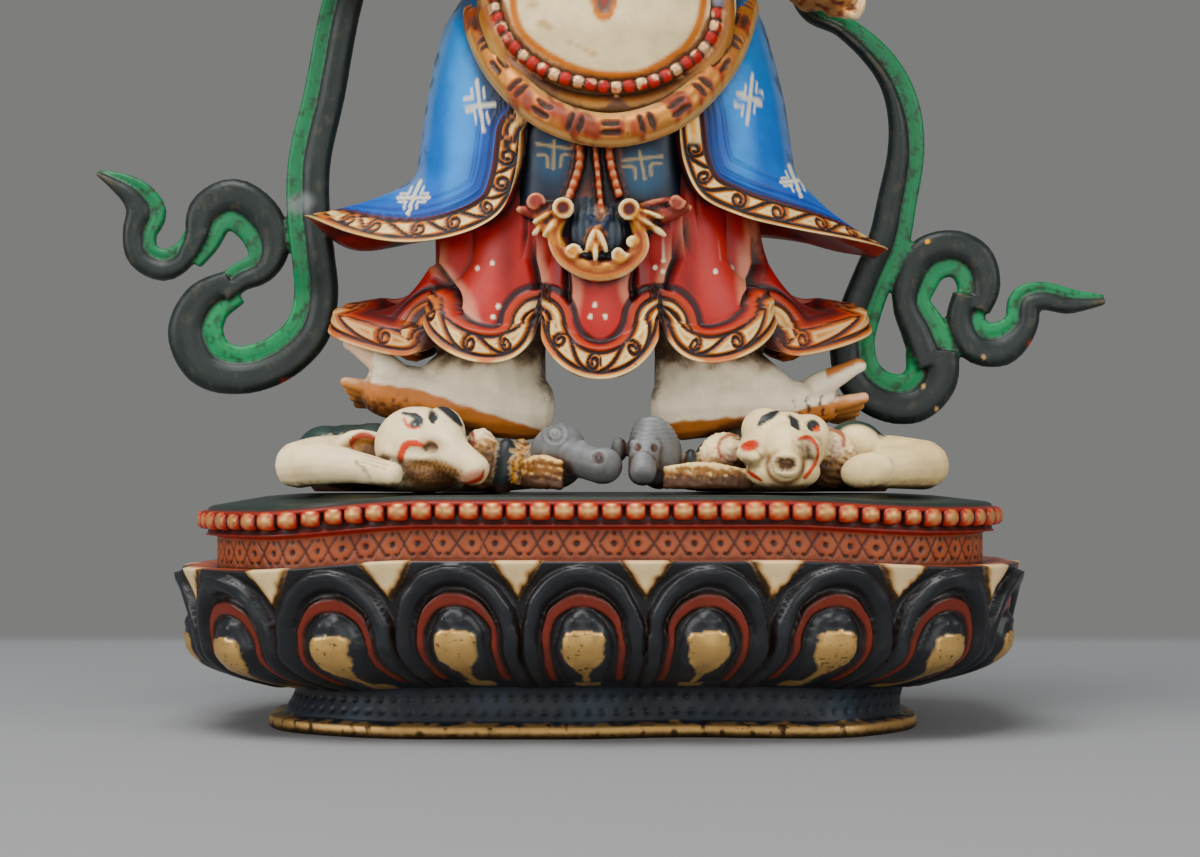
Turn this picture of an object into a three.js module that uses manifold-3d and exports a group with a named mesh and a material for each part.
// A small lost-wax cast and painted figure of a six-armed guardian, standing with
// turned-out feet on two prone elephant-headed figures, on a lotus base.
// Millimetres, +Z up, the front faces -Y, the origin is the middle of the base's underside.
import * as THREE from "three";
import { mergeVertices } from "three/addons/utils/BufferGeometryUtils.js";
import Module from "manifold-3d";

const wasm = await Module();
wasm.setup();

// Driving dimensions of the lotus base
const baseWidth = 129;
const baseDepth = 80;
const rimHeight = 1.9;
const neckHeight = 5.6;
const petalHeight = 18.4;
const bandHeight = 4.8;
const beadRowHeight = 3.4;
const topPlateHeight = 0.9;
const rimInset = 15.4;
const neckInset = 17.6;
const petalInset = 2.4;
const bandInset = 6.7;
const beadInset = 3.8;
const petalCount = 19;
const petalRelief = 1.7;
const petalLip = 0.7;
const petalLean = 3.6;
const bossRelief = 2.2;

// Driving dimensions of what stands on it
const figureHeight = 154;
const scarfThickness = 3;
const fitGap = 0.3;

const baseHeight =
  rimHeight + neckHeight + petalHeight + bandHeight + beadRowHeight + topPlateHeight;

// The pose is drawn on a grid of this many units from the base's top to the finial
const gridHeight = 154;
const unit = figureHeight / gridHeight;

const { lerp, smoothstep, degToRad } = THREE.MathUtils;

function at(x, y, z) {
  return new THREE.Vector3(x, y, z).multiplyScalar(unit);
}

// Closed solids

function solidOf(geometry) {
  const bare = new THREE.BufferGeometry();
  bare.setAttribute("position", geometry.getAttribute("position"));
  bare.setIndex(geometry.index);
  const merged = mergeVertices(bare, 1e-4);
  return new wasm.Manifold(
    new wasm.Mesh({
      numProp: 3,
      vertProperties: merged.attributes.position.array,
      triVerts: new Uint32Array(merged.index.array),
    }),
  );
}

function join(solids) {
  return solids.reduce((whole, next) => whole.add(next));
}

function cutAway(solid, others) {
  return others.reduce((left, other) => left.subtract(other), solid);
}

function signedVolume(points, index) {
  let sum = 0;
  for (let i = 0; i < index.length; i += 3) {
    const [a, b, c] = [points[index[i]], points[index[i + 1]], points[index[i + 2]]];
    sum += a.dot(new THREE.Vector3().crossVectors(b, c));
  }
  return sum / 6;
}

// A solid through rings of points, all with the same count, closed by a fan at each end
function solidOfRings(rings) {
  const count = rings[0].length;
  const points = rings.flat();
  const index = [];
  for (let row = 0; row + 1 < rings.length; row++) {
    for (let i = 0; i < count; i++) {
      const a = row * count + i;
      const b = row * count + ((i + 1) % count);
      index.push(a, b, a + count, b, b + count, a + count);
    }
  }
  for (const row of [0, rings.length - 1]) {
    const middle = new THREE.Vector3();
    rings[row].forEach((p) => middle.addScaledVector(p, 1 / count));
    points.push(middle);
    for (let i = 0; i < count; i++) {
      const a = row * count + i;
      const b = row * count + ((i + 1) % count);
      if (row) index.push(a, b, points.length - 1);
      else index.push(b, a, points.length - 1);
    }
  }
  if (signedVolume(points, index) < 0) index.reverse();
  const geometry = new THREE.BufferGeometry().setFromPoints(points);
  geometry.setIndex(index);
  return solidOf(geometry);
}

function turnedAndMoved(shape, turn, centre) {
  const euler = new THREE.Euler(...turn.map(degToRad));
  shape.applyMatrix4(new THREE.Matrix4().makeRotationFromEuler(euler));
  shape.translate(...centre.toArray());
  return solidOf(shape);
}

// An ellipsoid: radii in grid units, turned by degrees about X, Y and Z
function lump(centre, radii, turn = [0, 0, 0], around = 8) {
  const shape = new THREE.SphereGeometry(1, around, Math.round(around * 0.6));
  shape.rotateX(Math.PI / 2);
  shape.scale(...radii.map((r) => r * unit));
  return turnedAndMoved(shape, turn, centre);
}

// A turned piece: [radius, height] pairs in grid units, from bottom to top
function turned(profile, centre, turn = [0, 0, 0], around = 8) {
  const corners = profile.map(([r, h]) => new THREE.Vector2(r * unit, h * unit));
  const shape = new THREE.LatheGeometry(corners, around);
  shape.rotateX(Math.PI / 2);
  return turnedAndMoved(shape, turn, centre);
}

function along(values, t) {
  const place = t * (values.length - 1);
  const low = Math.min(Math.floor(place), values.length - 2);
  return lerp(values[low], values[low + 1], place - low);
}

// The value at x in a list of [x, value] corners
function cornerValue(corners, x) {
  const last = corners.length - 1;
  const next = corners.findIndex(([place]) => place > x);
  if (next === 0) return corners[0][1];
  if (next < 0) return corners[last][1];
  const [[x0, v0], [x1, v1]] = [corners[next - 1], corners[next]];
  return lerp(v0, v1, (x - x0) / (x1 - x0));
}

// A limb: round solid along a smooth curve, radii in grid units, with domed ends;
// grow, in millimetres, makes the room that a neighbour leaves round it
function limb(points, radii, { sides = 6, steps = points.length + 1, grow = 0 } = {}) {
  const curve = new THREE.CatmullRomCurve3(points);
  const frames = curve.computeFrenetFrames(steps);
  const dome = 0.62;
  const ring = (step, share, push) => {
    const radius = along(radii, step / steps) * unit + grow;
    const middle = curve.getPointAt(step / steps);
    middle.addScaledVector(frames.tangents[step], push * radius);
    return Array.from({ length: sides }, (_, i) => {
      const angle = (2 * Math.PI * i) / sides;
      return middle
        .clone()
        .addScaledVector(frames.normals[step], Math.cos(angle) * radius * share)
        .addScaledVector(frames.binormals[step], Math.sin(angle) * radius * share);
    });
  };
  const rings = [ring(0, dome, -dome)];
  for (let step = 0; step <= steps; step++) rings.push(ring(step, 1, 0));
  rings.push(ring(steps, dome, dome));
  return solidOfRings(rings);
}

// A closed roll of round section, such as a belt
function loopedRoll(points, radius, sides, steps) {
  const section = new THREE.Shape();
  section.absarc(0, 0, radius * unit, 0, 2 * Math.PI);
  const shape = new THREE.ExtrudeGeometry(section, {
    extrudePath: new THREE.CatmullRomCurve3(points, true),
    steps,
    curveSegments: sides / 2,
  });
  return solidOf(shape);
}

// The lotus base

// The plan is a rounded oblong; the casting's foot waves in and out along the front, its
// top has one notch, and all but its foot and the middle of its top droops towards both ends
const outlinePower = 2.9;
const footWaves = [
  { place: 0.27, width: 0.2, depth: 2.6 },
  { place: 0.75, width: 0.15, depth: -2.6 },
  { place: -0.6, width: 0.18, depth: -1.2 },
];
const topWaves = [
  { place: -0.61, width: 0.07, depth: 1.4 },
  { place: -0.8, width: 0.1, depth: -1 },
];
const endDroop = { left: 1.7, right: 1.1 };
// The foot sits a little to the left of the rest
const footShift = -1.1;

function outlinePoint(angle, inset, z, waves = [], droop = 1) {
  const [c, s] = [Math.cos(angle), Math.sin(angle)];
  const bend = 2 / outlinePower;
  const across = Math.sign(c) * Math.abs(c) ** bend;
  const point = new THREE.Vector3(
    across * (baseWidth / 2 - inset),
    Math.sign(s) * Math.abs(s) ** bend * (baseDepth / 2 - inset),
    z,
  );
  for (const { place, width, depth } of waves) {
    const near = Math.exp(-(((across - place) / width) ** 2));
    point.y += depth * near * Math.max(0, -s) ** bend;
  }
  point.x += footShift * (1 - smoothstep(z, rimHeight, rimHeight + neckHeight));
  const upper = smoothstep(z, rimHeight, rimHeight + neckHeight + petalHeight / 4);
  const end = smoothstep(Math.abs(across), 0.4, 0.85);
  point.z -= droop * upper * end * (across < 0 ? endDroop.left : endDroop.right);
  return point;
}

// The angles that lie at the given shares of the plan's length, from the middle of the front
function anglesAt(shares) {
  const fine = 2000;
  const angleOf = (i) => (2 * Math.PI * i) / fine - Math.PI / 2;
  const lengths = [0];
  for (let i = 1; i <= fine; i++) {
    const step = outlinePoint(angleOf(i), 0, 0).distanceTo(outlinePoint(angleOf(i - 1), 0, 0));
    lengths.push(lengths[i - 1] + step);
  }
  return shares.map((share) => {
    const wanted = lengths[fine] * (share - Math.floor(share));
    const i = lengths.findIndex((length) => length > wanted) - 1;
    return angleOf(i + (wanted - lengths[i]) / (lengths[i + 1] - lengths[i]));
  });
}

const layerColumns = 24;

// A layer through rings of [inset, height, share of the droop]
function baseLayer(profile, waves) {
  const angles = anglesAt(Array.from({ length: layerColumns }, (_, i) => i / layerColumns));
  return solidOfRings(
    profile.map(([inset, z, droop]) =>
      angles.map((angle) => outlinePoint(angle, inset, z, waves, droop)),
    ),
  );
}

// How far a petal stands out at u across it, -1 to 1, and v up it, 0 to 1:
// a rolled border round a sunk field with a domed boss
function petalSwell(u, v) {
  const arch = Math.hypot(u / 0.97, Math.max(0, v - 0.42) / 0.58);
  if (arch > 1) return 0;
  const border = arch > 0.72 ? Math.sqrt(1 - ((arch - 0.86) / 0.14) ** 2) : 0.25;
  const boss = Math.sqrt(Math.max(0, 1 - (u / 0.5) ** 2 - ((v - 0.34) / 0.36) ** 2));
  return petalRelief * border + bossRelief * boss + petalLip * smoothstep(v, 0.8, 1);
}

// How far in the ground behind the petals lies: it swings out from the neck like a bowl
function petalGround(v) {
  const swing = Math.max(0, 1 - v / 0.38) ** 2;
  return petalInset + petalLean * (1 - v) + (rimInset - petalInset - petalLean) * swing;
}

// Columns at each petal's groove, the crests of its border and the edges of its boss
const petalColumns = [-1, -0.84, -0.5, 0, 0.5, 0.84];
const petalLevels = [0, 0.16, 0.34, 0.6, 0.9, 1];
const petalShift = -0.14;

function lotusRow(bottom) {
  const places = Array.from({ length: petalCount }, (_, k) => k).flatMap((k) =>
    petalColumns.map((u) => ({ u, share: (k + petalShift + u / 2) / petalCount })),
  );
  const angles = anglesAt(places.map(({ share }) => share));
  return solidOfRings(
    petalLevels.map((v) =>
      places.map(({ u }, i) => {
        const inset = petalGround(v) - petalSwell(u, Math.min(v, 0.98));
        return outlinePoint(angles[i], inset, bottom + v * petalHeight);
      }),
    ),
  );
}

function lotusBase() {
  const petals = rimHeight + neckHeight;
  const band = petals + petalHeight;
  const beads = band + bandHeight;
  const plate = beads + beadRowHeight;
  const sunk = 1;
  const foot = baseLayer(
    [
      [rimInset, 0],
      [rimInset, rimHeight],
      [neckInset - 0.4, rimHeight],
      [neckInset, rimHeight + neckHeight / 2],
      [neckInset, petals + sunk],
    ],
    footWaves,
  );
  const upper = baseLayer(
    [
      [bandInset, band - sunk],
      [bandInset, beads],
      [beadInset, beads + beadRowHeight * 0.25],
      [beadInset, beads + beadRowHeight * 0.75],
      [beadInset + 1.6, plate],
      [beadInset + 2.2, baseHeight],
      [beadInset + 12, baseHeight, 0],
    ],
    topWaves,
  );
  return join([foot, lotusRow(petals), upper]);
}

// The two prone elephant-headed figures, each with a mongoose in its inner hand

function proneBody(side) {
  const leg = (x0, x1) => limb([at(side * x0, 14, 3), at(side * x1, 31, 2.4)], [4, 2.2], { steps: 1 });
  return [
    lump(at(side * 25, 4, 3.4), [11, 19, 8]),
    lump(at(side * 37, 6, 3.2), [9, 10, 5.4], [0, 0, 0], 7),
    leg(29, 33),
    leg(20, 16),
  ];
}

function elephantLeft() {
  return [
    ...proneBody(-1),
    lump(at(-26.4, -19, 7.2), [6.6, 6.2, 5.8]),
    lump(at(-25, -20.6, 3.2), [6, 5, 3.2], [0, 0, 0], 6),
    limb([at(-24, -21, 6.4), at(-20.5, -24, 4.4), at(-17.6, -25.4, 2.3)], [4.8, 2.1], { steps: 2 }),
    lump(at(-34.4, -13.6, 5.4), [4.6, 2, 4.4], [0, 0, -20], 5),
    lump(at(-15.6, -15, 5), [5, 2.2, 4.6], [0, 0, 14], 5),
    lump(at(-37.4, -5.4, 5.6), [7.6, 5, 5], [0, 0, 0], 6),
    limb([at(-33, -6, 5), at(-41.6, -12, 5), at(-44.2, -18.4, 4.2)], [4, 3.6], { steps: 2 }),
    limb([at(-44.2, -18.4, 4.2), at(-38, -22, 4.4), at(-30.5, -24, 3)], [3.5, 3.1, 2], { steps: 2 }),
    limb([at(-18, -9, 3), at(-6, -19, 2)], [3, 1.6], { sides: 5, steps: 1 }),
    lump(at(-6.2, -15.5, 5.6), [4.6, 5, 4.9], [0, 20, 0], 7),
    limb([at(-3.4, -18.5, 4.8), at(1.4, -22.5, 2.6)], [3, 2.2], { steps: 1 }),
  ];
}

function elephantRight() {
  return [
    ...proneBody(1),
    lump(at(26.6, -19, 7.2), [6.5, 6.2, 5.8]),
    lump(at(26.6, -20.6, 3.4), [5.6, 5.4, 3.2], [0, 0, 0], 6),
    limb([at(26.4, -22, 5.8), at(26.5, -28.6, 4.3)], [4, 2.7], { steps: 1 }),
    lump(at(18, -15, 5.4), [4.8, 2.4, 4.4], [0, 0, 18], 5),
    lump(at(34, -15, 5.4), [4.8, 3, 4.4], [0, 0, -20], 6),
    lump(at(38, -5.4, 5.4), [7, 5, 4.8], [0, 0, 0], 6),
    limb([at(33, -5, 5), at(43.5, -9, 5), at(48.2, -14, 4.4)], [4, 3.8], { steps: 2 }),
    limb([at(48.2, -14, 4.4), at(43.8, -19.5, 4), at(38.2, -23, 3.6)], [3.8, 3.2, 2.7], { steps: 2 }),
    limb([at(19, -10, 3), at(9, -18, 2)], [2.8, 1.6], { sides: 5, steps: 1 }),
    lump(at(8.2, -14.5, 6.4), [4.6, 4.8, 5.4], [0, -12, 0], 7),
    limb([at(6.8, -18, 6.2), at(6, -22.2, 2.4)], [3.1, 2.3], { steps: 1 }),
  ];
}

// The figure's bare legs and turned-out feet

const footPoses = {
  left: { heel: 10.4, ball: 33.6, height: 16.2, thick: [5.2, 5.2, 4.8, 4.3], toeRise: 3.4 },
  right: { heel: 11.2, ball: 35, height: 13.8, thick: [5.2, 5.2, 4.2, 3], toeRise: 2.4 },
};

function legAndFoot(side, grow) {
  const { heel, ball, height, thick, toeRise } = footPoses[side < 0 ? "left" : "right"];
  const sole = limb(
    [
      at(side * heel, 2, 13.2),
      at(side * 17, 1, 13.8),
      at(side * 26, 0, lerp(13.8, height, 0.3)),
      at(side * ball, 0, height),
    ],
    thick,
    { sides: 7, grow },
  );
  const legPath = [at(side * 15.2, 3.4, 14.6), at(side * 17, 3.4, 24), at(side * 17.4, 3.6, 33)];
  const leg = limb(legPath, [7, 8.8, 9.4], { sides: 7, steps: 2, grow });
  if (grow) return [sole, leg];
  const bigToe = [
    at(side * (ball - 1), -1.7, height + 3.4),
    at(side * (ball + 4.4), -1.7, height + 3.4 + toeRise),
  ];
  return [
    sole,
    leg,
    limb(bigToe, [1.9, 1.2], { sides: 5, steps: 1 }),
    lump(at(side * (ball + 2.4), 0.8, height - 0.2), [4, 3.6, 2], [0, 0, 0], 7),
  ];
}

// Cloth is drawn in rings round the body: degrees run from the front towards +X

function degreesFromFront(degrees) {
  return Math.abs(((degrees + 180) % 360) - 180);
}

function ringPoint(degrees, halfWidth, halfDepth, z) {
  const angle = degToRad(degrees);
  return at(Math.sin(angle) * halfWidth, -Math.cos(angle) * halfDepth, z);
}

// The skirt: scallops between tucks, its hem a rolled band that runs out to two side tips;
// each scallop drops below its tucks, deepest off its middle where skew isn't 1

const skirtTucks = [17.7, 54.5, 90, 130, 165];
const skirtScallops = [
  { drop: 9.7, skew: 1, round: 0.55 },
  { drop: 7.2, skew: 0.56, round: 0.8 },
  { drop: 5.8, skew: 0.3, round: 1 },
  { drop: 5.8, skew: 2.6, round: 1 },
  { drop: 6.5, skew: 1, round: 0.8 },
  { drop: 8, skew: 1, round: 0.6 },
];
const skirtTuckHeight = 26.5;
const skirtBand = 5.2;
const skirtTipThinning = 0.4;

// How far a place bulges out, 0 at a tuck and 1 in mid scallop, and how far its hem drops
function scallop(degrees) {
  const round = degreesFromFront(degrees);
  const ends = [-skirtTucks[0], ...skirtTucks, 360 - skirtTucks[4]];
  const k = Math.max(0, ends.findIndex((end) => end > round) - 1);
  const share = (round - ends[k]) / (ends[k + 1] - ends[k]);
  const { drop, skew, round: power } = skirtScallops[k];
  const arc = (t) => Math.max(0, Math.sin(Math.PI * t));
  return { bulge: arc(share) ** 0.8, drop: drop * arc(share ** skew) ** power };
}

// Four columns to a scallop in front and three behind, closer together where it drops fastest
function skirtAngles() {
  const ends = [0, ...skirtTucks, 180];
  const half = skirtScallops.flatMap(({ skew }, k) => {
    const count = ends[k] < 90 ? 4 : 3;
    return Array.from({ length: count }, (_, i) =>
      lerp(ends[k], ends[k + 1], (i / count) ** (1 / Math.sqrt(skew))),
    );
  });
  return [...half, 180, ...half.slice(1).map((degrees) => 360 - degrees).reverse()];
}

// One row: half width and depth at the side, height above the hem line or above the base,
// how far the tips run out, and how much of the fold the row takes
function skirtRow({ width, depth, tip = 0, fold, fall, z }) {
  return skirtAngles().map((degrees) => {
    const { bulge, drop } = scallop(degrees);
    const sharpness = degreesFromFront(degrees) > 90 ? 30 : 7;
    const side = Math.abs(Math.sin(degToRad(degrees))) ** sharpness;
    const swell = 1 + fold * (0.13 * bulge - 0.08);
    const hem = skirtTuckHeight - drop + z * (1 - skirtTipThinning * side);
    const height = lerp(z, hem, fall);
    return ringPoint(degrees, (width + tip * side) * swell, depth * swell, height);
  });
}

function skirt() {
  return solidOfRings([
    skirtRow({ width: 22.6, depth: 13.8, fold: 0, fall: 0, z: 58 }),
    skirtRow({ width: 25.4, depth: 14.6, fold: 1, fall: 0, z: 35 }),
    skirtRow({ width: 28.8, depth: 15.8, tip: 7.4, fold: 1, fall: 1, z: skirtBand + 0.6 }),
    skirtRow({ width: 32.8, depth: 17.4, tip: 8.4, fold: 1, fall: 1, z: skirtBand - 0.6 }),
    skirtRow({ width: 33.4, depth: 17.6, tip: 8.6, fold: 1, fall: 1, z: 0 }),
    skirtRow({ width: 29.5, depth: 14.5, tip: 5, fold: 1, fall: 1, z: 1.6 }),
    skirtRow({ width: 17, depth: 9, fold: 0, fall: 0, z: 33 }),
  ]);
}

// The robe: open in front, flaring to a hem with a point at each side

const robeOpening = 24;
const robeHemHeights = {
  left: [[11.6, 56], [12.6, 47], [14.5, 42], [18, 39.5], [25, 37.7], [31, 37.7], [38, 39.4], [45.6, 42.8]],
  right: [[11.6, 56], [12.4, 49], [15, 44], [21, 41.2], [28, 39.7], [36, 38.6], [44.4, 37.6]],
  back: 41,
};
// Behind each point the hem hangs this much lower before it rises to the back
const robeHemSag = { left: 2.1, right: 1.3 };
const robeHemDepth = 17.6;

function robeHem(degrees) {
  const left = degrees > 180;
  const sine = Math.abs(Math.sin(degToRad(degrees)));
  const halfWidth = left ? 45.6 : 44.4;
  const x = halfWidth * sine ** 1.5;
  const side = left ? "left" : "right";
  const front = cornerValue(robeHemHeights[side], x);
  const backShare = degreesFromFront(degrees) > 90 ? 1 - sine ** 6 : 0;
  const sag = robeHemSag[side] * (4 * backShare * (1 - backShare)) ** 2;
  const z = lerp(front, robeHemHeights.back, backShare) - sag;
  return { halfWidth: x / Math.max(sine, 1e-6), z };
}

function robeAngles() {
  const cut = 0.4;
  const backColumns = 11;
  const half = [robeOpening - cut, robeOpening + cut];
  for (let k = 1; k < backColumns; k++)
    half.push(robeOpening + (180 - robeOpening) * (k / backColumns) ** 1.3);
  return [0, ...half, 180, ...half.map((d) => 360 - d).reverse()];
}

// Outside the body the robe is an oval tube; below flareTop it swings out to the hem
const robeWidths = [[50, 29.2], [60, 27.8], [66, 26.4], [72, 24.6], [80, 20]];
const robeDepths = [[50, 16.8], [66, 15.8], [80, 13]];
const robeFlareTop = 51;
const robeShift = 0.9;
const robeThickness = 2;

function robeRow(share, inward = 0) {
  return robeAngles().map((degrees) => {
    const hem = robeHem(degrees);
    const top = Math.max(robeFlareTop, hem.z + 1.2);
    const out = share ** (degrees > 180 ? 2.6 : 1.7);
    const width = lerp(cornerValue(robeWidths, top), hem.halfWidth, out) - inward;
    const depth = lerp(cornerValue(robeDepths, top), robeHemDepth, out) - inward;
    const point = ringPoint(degrees, width, depth, lerp(top, hem.z, share) + inward * 0.4);
    point.x += robeShift * (1 - out) * unit;
    return point;
  });
}

function robe() {
  const tubeRow = (z) =>
    robeAngles().map((degrees) => {
      const height = Math.max(z, robeHem(degrees).z + 1.8);
      const width = cornerValue(robeWidths, height);
      const point = ringPoint(degrees, width, cornerValue(robeDepths, height), height);
      point.x += robeShift * unit;
      return point;
    });
  const inner = robeAngles().map((degrees) => ringPoint(degrees, 20, 11, 48));
  return solidOfRings([
    ...[80, 70, 60].map(tubeRow),
    ...[0, 0.45, 0.8, 1].map((share) => robeRow(share)),
    robeRow(1, robeThickness),
    robeRow(0.5, robeThickness * 1.6),
    inner,
  ]);
}

// Between the robe's edges: a cloth panel, bead strings, and a pendant hung from two masks

function apron() {
  const bent = (value, power) => Math.sign(value) * Math.abs(value) ** power;
  const columns = 16;
  const panelRow = ([halfWidth, halfDepth, z]) =>
    Array.from({ length: columns }, (_, i) => {
      const angle = (2 * Math.PI * (i + 0.5)) / columns;
      const x = bent(Math.sin(angle), 0.45) * halfWidth;
      return at(x, bent(-Math.cos(angle), 0.35) * halfDepth, z);
    });
  const pendant = [[-5.6, 42], [-5.4, 36.5], [0, 33.3], [5.4, 36.5], [5.6, 42]];
  const mask = (side) => [
    lump(at(side * 5.1 - 0.5, -16.4, 42.2), [2, 1.9, 2], [0, 0, 0], 6),
    lump(at(side * 9, -15.4, 42), [3.8, 2.2, 2.6], [0, side * 12, 0], 6),
  ];
  return [
    solidOfRings([[8, 14.5, 38], [12.8, 16, 41.6], [13, 16, 58]].map(panelRow)),
    limb(pendant.map(([x, z]) => at(x - 0.3, -16.3, z)), [1.2, 1.7, 1.2], { sides: 5, steps: 8 }),
    lump(at(-0.3, -15.8, 37), [4.6, 1.6, 3.8], [0, 0, 0], 6),
    ...[-1, 1].flatMap(mask),
  ];
}

// The belly, set a little to the right, the rolled waist band under it and the trunk above

const bellyShift = 1.4;

function waistBand() {
  const half = [[8.8, -19.4, 55.4], [16, -14.8, 62.8], [20, -5, 72.5], [19.6, 7, 77], [8.6, 13.5, 79]];
  const points = [at(bellyShift, -20.4, 53), ...half.map(([x, y, z]) => at(x + bellyShift, y, z))];
  points.push(...half.map(([x, y, z]) => at(bellyShift - x, y, z)).reverse());
  return loopedRoll(points, 2.5, 6, 18);
}

// A body through oval rows of [height, half width, half depth, how far forward, how far right]
function ovalBody(rows, columns) {
  return solidOfRings(
    rows.map(([z, halfWidth, halfDepth, forward, right = 0]) =>
      Array.from({ length: columns }, (_, i) => {
        const angle = (2 * Math.PI * i) / columns;
        return at(right + Math.sin(angle) * halfWidth, -forward - Math.cos(angle) * halfDepth, z);
      }),
    ),
  );
}

function trunk() {
  return ovalBody(
    [
      [54, 5, 5, 6, bellyShift],
      [56.5, 12.5, 11, 6, bellyShift],
      [61, 17.2, 15, 6, bellyShift],
      [68, 19.6, 17.6, 6, bellyShift],
      [76, 19.2, 18.6, 6, bellyShift],
      [83, 17.6, 16.4, 4, bellyShift * 0.6],
      [89, 18, 13, 1, bellyShift * 0.2],
      [96, 21, 10.6, -0.6],
      [101, 18.5, 8.6, -1.6],
      [104.5, 8.6, 7.6, -0.8],
      [110, 7.6, 7.4, 0],
    ],
    12,
  );
}

// Six arms: shoulder, elbow, wrist and hand of each, mirrored by the sign of side

const armPoses = [
  { side: 1, path: [[19, -1, 97], [27.5, -7, 84], [13, -23, 85.5], [7.5, -26.5, 87]] },
  { side: -1, path: [[19, -1, 97], [27.5, -7, 84], [13, -23, 88], [7.5, -26.5, 90]] },
  { side: 1, path: [[20, 2, 99.5], [37, 5, 95], [48, 1, 108], [51, -1, 115]] },
  { side: -1, path: [[20, 2, 99.5], [37, 5, 95], [48, 1, 108], [51, -1, 115]] },
  { side: 1, path: [[19, 4, 95], [30, 5, 84], [31.5, -1, 78], [36.8, -4, 76.6]] },
  { side: -1, path: [[19, 4, 95], [31, 5, 86], [37, 0, 87], [42.5, -3.5, 89]] },
];

function arm({ side, path }) {
  const points = path.map(([x, y, z]) => at(side * x, y, z));
  return limb(points, [5.8, 5, 3.2, 3.6], { sides: 5, steps: 5 });
}

// What the hands hold: a skull bowl, a jewel, a hand drum, a trident, a sword and a noose

function trident() {
  const shaft = [at(49.6, -0.8, 97), at(51, -1, 115), at(52, -1.4, 134), at(53, -1.6, 151)];
  const sideProng = (side) => {
    const bend = [at(52.2, -1.4, 136), at(52.6 + side * 4.2, -1.6, 141), at(53 + side * 3, -1.6, 148)];
    return limb(bend, [1.3, 1.2, 0.6], { sides: 5, steps: 2 });
  };
  return [
    limb(shaft, [1.2, 1.3, 1.4, 0.6], { sides: 5, steps: 3 }),
    ...[-1, 1].map(sideProng),
  ];
}

function sword() {
  return [
    limb([at(-50.6, -1, 110), at(-52, -1.3, 128), at(-53, -1.4, 149)], [1.5, 2.4, 0.6], {
      sides: 5,
      steps: 3,
    }),
    limb([at(-54.8, -1.2, 119.8), at(-47.4, -1.2, 119)], [1.4, 1.4], { sides: 5, steps: 1 }),
  ];
}

function noose() {
  const rope = [[36.8, -4, 76.6], [51, -3, 87], [68, -1, 95], [83, 0, 94], [90.4, 0, 86], [91.5, 0, 80]];
  return limb(rope.map((p) => at(...p)), [1.5, 1.3, 1.3, 1.3, 1.6, 1.9, 0.8], {
    sides: 5,
    steps: 11,
  });
}

function heldThings() {
  const bowl = [[0, -3], [3.4, -2.4], [6, 0.6], [6.4, 3], [3.4, 4.4], [0, 6.2]];
  const jewel = [[0, -3.4], [3.4, -1], [1.6, 3.6], [0, 6.4]];
  const drum = [[0, -5], [4.6, -5], [4.6, -3.8], [1.6, 0], [4.6, 3.8], [4.6, 5], [0, 5]];
  return [
    turned(bowl, at(6.6, -27.6, 91.6)),
    turned(jewel, at(-7.4, -28.4, 94.6)),
    turned(drum, at(-45.4, -4.6, 91), [0, 68, 0]),
    ...trident(),
    ...sword(),
    noose(),
  ];
}

// The head, with its crown of leaves and upswept hair

function crownLeaf(degrees) {
  const angle = degToRad(degrees);
  const tall = 6.8 - Math.abs(degrees) / 30;
  const foot = at(Math.sin(angle) * 12, -1.6 - Math.cos(angle) * 12, 127.5);
  return lump(foot, [3.4, 1.6, tall], [0, 0, degrees], 5);
}

function head() {
  const earring = (side) =>
    turned([[0, -1], [3.6, -1], [3.6, 1], [0, 1]], at(side * 11.2, -1, 109), [0, 90, 0], 7);
  return [
    ovalBody(
      [
        [103, 5, 5, 3],
        [106, 8.4, 8.6, 4.4],
        [112, 10.6, 11, 3],
        [118, 11.4, 11.4, 2],
        [123, 11.4, 11.6, 1.6],
        [124, 12.8, 13, 1.6],
        [127, 12.8, 13, 1.6],
        [128, 10.4, 10.6, -1],
        [136, 9.6, 9.2, -2.5],
        [142, 5.4, 5.4, -2.5],
        [147, 4.6, 4.6, -2.5],
        [150, 2.6, 2.6, -2.5],
        [154, 0.4, 0.4, -2.5],
      ],
      12,
    ),
    lump(at(0, -13.4, 115), [2.6, 2.2, 2.8], [0, 0, 0], 6),
    ...[-64, -32, 0, 32, 64].map(crownLeaf),
    ...[-1, 1].map(earring),
  ];
}

// The scarves: flat ribbons looped on themselves, a raised roll beside a lower strip;
// a path holds [x, z, width, y] in grid units, and strip says on which side the strip runs

const scarfPlane = 7.5;

const ribbonSection = [
  [-0.5, 0],
  [-0.36, 0.5],
  [0, 0.5],
  [0.14, 0.2],
  [0.48, 0.2],
  [0.46, -0.5],
  [-0.42, -0.5],
];

function ribbon(path, strip, perSpan = 1.25) {
  const curve = new THREE.CatmullRomCurve3(path.map(([x, z, , y = scarfPlane]) => at(x, y, z)));
  const widths = path.map(([, , width]) => width);
  const steps = Math.round(perSpan * (path.length - 1));
  const forward = new THREE.Vector3(0, -1, 0);
  const ringAt = (_, step) => {
    const middle = curve.getPoint(step / steps);
    const tangent = curve.getTangent(step / steps);
    const across = new THREE.Vector3().crossVectors(forward, tangent).normalize();
    const out = new THREE.Vector3().crossVectors(tangent, across).normalize();
    const width = along(widths, step / steps) * strip * unit;
    return ribbonSection.map(([a, o]) =>
      middle
        .clone()
        .addScaledVector(across, a * width)
        .addScaledVector(out, o * scarfThickness),
    );
  };
  return solidOfRings(Array.from({ length: steps + 1 }, ringAt));
}

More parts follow.
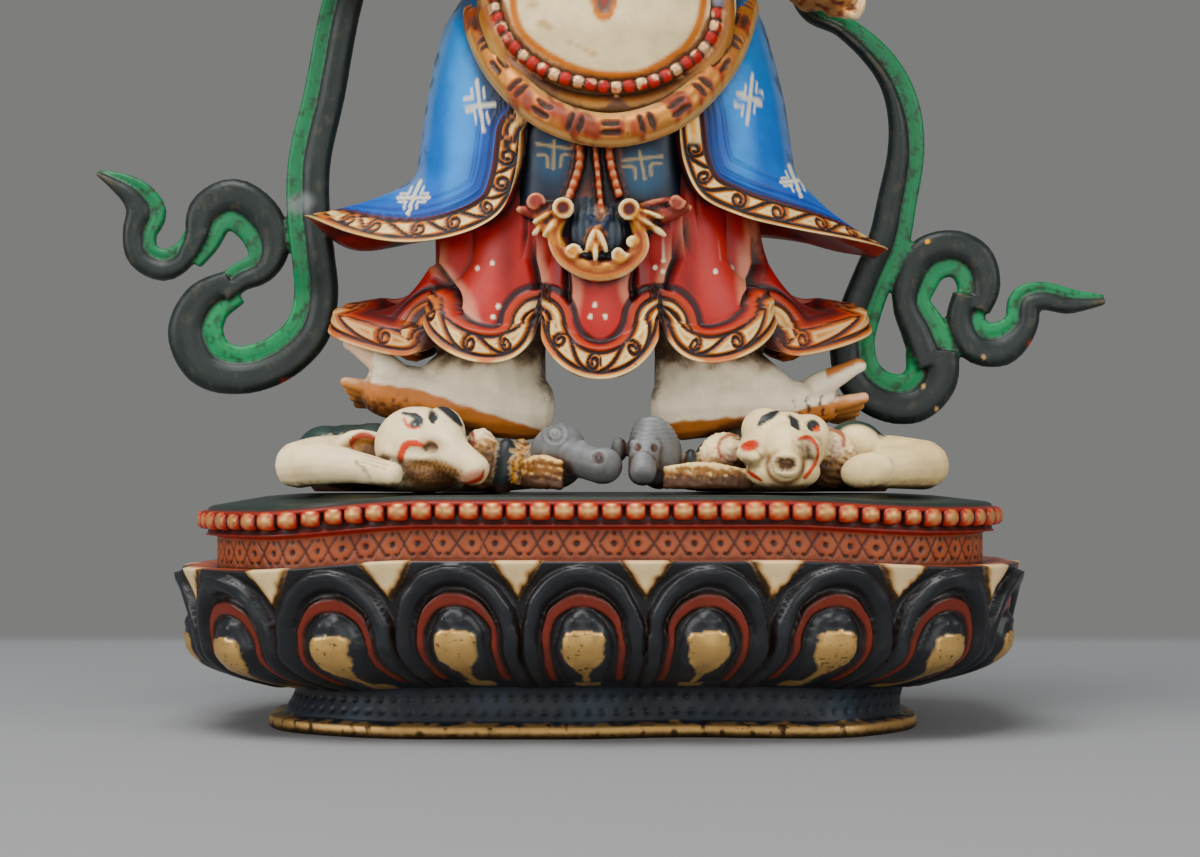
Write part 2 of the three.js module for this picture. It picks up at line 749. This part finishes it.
function scarfOnViewersLeft() {
  const fall = [
    [-20, 102, 4, 10.8], [-30, 97, 5.4, 12.6], [-38.2, 86, 6, 11], [-40.8, 76.7, 6.5],
    [-43.5, 62.7, 6.7], [-45.7, 52, 6.9, 6.6], [-45.8, 44, 7, 6.5], [-45, 36.7, 7, 6.6],
    [-44.7, 31, 7.2],
    [-46, 25.6, 7.4], [-50.6, 21.2, 7.6], [-56.6, 19.4, 7.8], [-61.4, 20.8, 8.8],
    [-63.5, 25.3, 9], [-61.8, 29.6, 8], [-57.5, 32.4, 6],
  ];
  const upperLoop = [
    [-59.5, 31.6, 4.4], [-56.7, 33.9, 4.6], [-53.4, 35.6, 5.4], [-52.3, 38.4, 7],
    [-53.6, 42.4, 8.2], [-57.6, 45.3, 8.5], [-61.1, 43.7, 8], [-62.6, 39.8, 5.8],
    [-64.6, 36.6, 4.2],
  ];
  const tail = [
    [-63, 41.5, 3.9], [-65, 38, 4.2], [-68.4, 35.9, 5.2], [-71.9, 37.6, 5.2], [-72.4, 41, 5.4],
    [-71.4, 44.2, 6.6], [-73, 47, 5.2], [-76, 49, 3.2], [-79, 50.4, 1],
  ];
  return join([ribbon(fall, -1), ribbon(upperLoop, 1), ribbon(tail, -1, 1)]);
}

function scarfOnViewersRight() {
  const fall = [
    [20, 102, 4, 10.8], [28.5, 94, 4.6, 12.6], [31, 84, 4.2, 11.6], [33.4, 76.8, 3.9, 9.8],
    [38.2, 73.8, 3.9], [43.4, 69.4, 4.8], [46.4, 65.2, 5.2], [48.1, 59.6, 5.8, 7.3],
    [48.2, 53.4, 6.1, 7.3], [46.8, 46, 6.4, 7.3], [45.4, 39.4, 6.8, 7.3], [42.9, 33.6, 6.5],
    [41, 28.6, 6.8],
    [39.7, 23.4, 7.3], [40.9, 18.2, 7.6], [44.6, 15.3, 7.8], [49, 15.1, 8.4], [51.9, 18, 8.6],
    [52.2, 22.4, 8.6],
  ];
  const upperLoop = [
    [53, 20.5, 8], [50.9, 25.7, 7.4], [49, 29.8, 6], [49.6, 33, 7], [51.7, 36.6, 7.8],
    [55.5, 37.6, 7.6], [58.4, 36.1, 7.7], [59.5, 32.6, 7], [58.5, 29, 5.8],
  ];
  const tail = [
    [58.3, 31, 5.8], [57.6, 27, 6.4], [59.4, 23.8, 7], [63, 23.6, 7.4], [66.2, 26.6, 5.4],
    [66.8, 30.2, 5.2], [69.6, 31, 4.6], [73.8, 30.2, 4.2], [79.2, 30.4, 1.7],
  ];
  return join([ribbon(fall, 1), ribbon(upperLoop, -1), ribbon(tail, 1, 1)]);
}

// The whole, each solid with its own finish

// Joins leave short edges along their seams: those under this length, in millimetres, are
// closed up where the surface stays whole and no face turns over
const shortestEdge = 0.8;

function closeShortEdges(points, faces) {
  const around = points.map(() => new Set());
  for (const face of faces) face.forEach((corner) => around[corner].add(face));
  const neighbours = (corner) => new Set([...around[corner]].flat());
  const normal = (face) => {
    const [a, b, c] = face.map((corner) => points[corner]);
    return b.clone().sub(a).cross(c.clone().sub(a));
  };
  const staysUp = (face, gone, kept) => {
    const moved = face.map((corner) => (corner === gone ? kept : corner));
    const [before, after] = [normal(face), normal(moved)];
    return before.dot(after) > 0.5 * before.length() * after.length();
  };
  const length = ([a, b]) => points[a].distanceTo(points[b]);
  const edges = faces.flatMap(([a, b, c]) => [[a, b], [b, c], [c, a]]).filter(([a, b]) => a < b);
  const short = edges.filter((edge) => length(edge) < shortestEdge);
  for (const [kept, gone] of short.sort((one, other) => length(one) - length(other))) {
    const near = neighbours(gone);
    const shared = [...neighbours(kept)].filter((corner) => near.has(corner));
    const lost = [...around[gone]].filter((face) => face.includes(kept));
    const moved = [...around[gone]].filter((face) => !face.includes(kept));
    // An edge can close when its ends share only each other and two opposite corners
    if (shared.length !== 4 || lost.length !== 2) continue;
    if (!moved.every((face) => staysUp(face, gone, kept))) continue;
    for (const face of lost) face.forEach((corner) => around[corner].delete(face));
    for (const face of moved) {
      face[face.indexOf(gone)] = kept;
      around[kept].add(face);
    }
    around[gone].clear();
  }
  return faces.filter((face) => around[face[0]].has(face));
}

function meshOf(solid, name, colour, roughness) {
  const { numVert, numProp, vertProperties, triVerts } = solid.getMesh();
  const points = Array.from({ length: numVert }, (_, i) =>
    new THREE.Vector3().fromArray(vertProperties, i * numProp),
  );
  const faces = Array.from({ length: triVerts.length / 3 }, (_, i) => [
    ...triVerts.subarray(3 * i, 3 * i + 3),
  ]);
  const geometry = new THREE.BufferGeometry().setFromPoints(points);
  geometry.setIndex(closeShortEdges(points, faces).flat());
  geometry.computeVertexNormals();
  const material = new THREE.MeshStandardMaterial({ color: colour, roughness, metalness: 0 });
  const mesh = new THREE.Mesh(geometry, material);
  mesh.name = name;
  return mesh;
}

// What reaches below the base's top, or into the fit gap over it, is cut off flat
function flatOnBase(solid) {
  const span = 2 * baseWidth;
  const below = new THREE.BoxGeometry(span, span, span);
  below.translate(0, 0, fitGap - span / 2);
  return solid.subtract(solidOf(below));
}

const figure = join([
  ...[-1, 1].flatMap((side) => legAndFoot(side, 0)),
  skirt(),
  robe(),
  ...apron(),
  trunk(),
  waistBand(),
  ...armPoses.map(arm),
  ...heldThings(),
  ...head(),
]);

function underFoot(parts, side) {
  return cutAway(flatOnBase(join(parts)), legAndFoot(side, fitGap * 2));
}

const cream = 0xe6dabf;
const scarfGreen = 0x1f3328;
const standing = new THREE.Group();
standing.position.z = baseHeight;
standing.add(
  meshOf(figure, "mahakala_figure", cream, 0.5),
  meshOf(underFoot(elephantLeft(), -1), "elephant_left", cream, 0.55),
  meshOf(underFoot(elephantRight(), 1), "elephant_right", cream, 0.55),
  meshOf(scarfOnViewersLeft(), "scarf_left", scarfGreen, 0.35),
  meshOf(scarfOnViewersRight(), "scarf_right", scarfGreen, 0.35),
);

const statue = new THREE.Group();
statue.add(meshOf(lotusBase(), "lotus_base", 0x1d1f22, 0.35), standing);

export default statue;
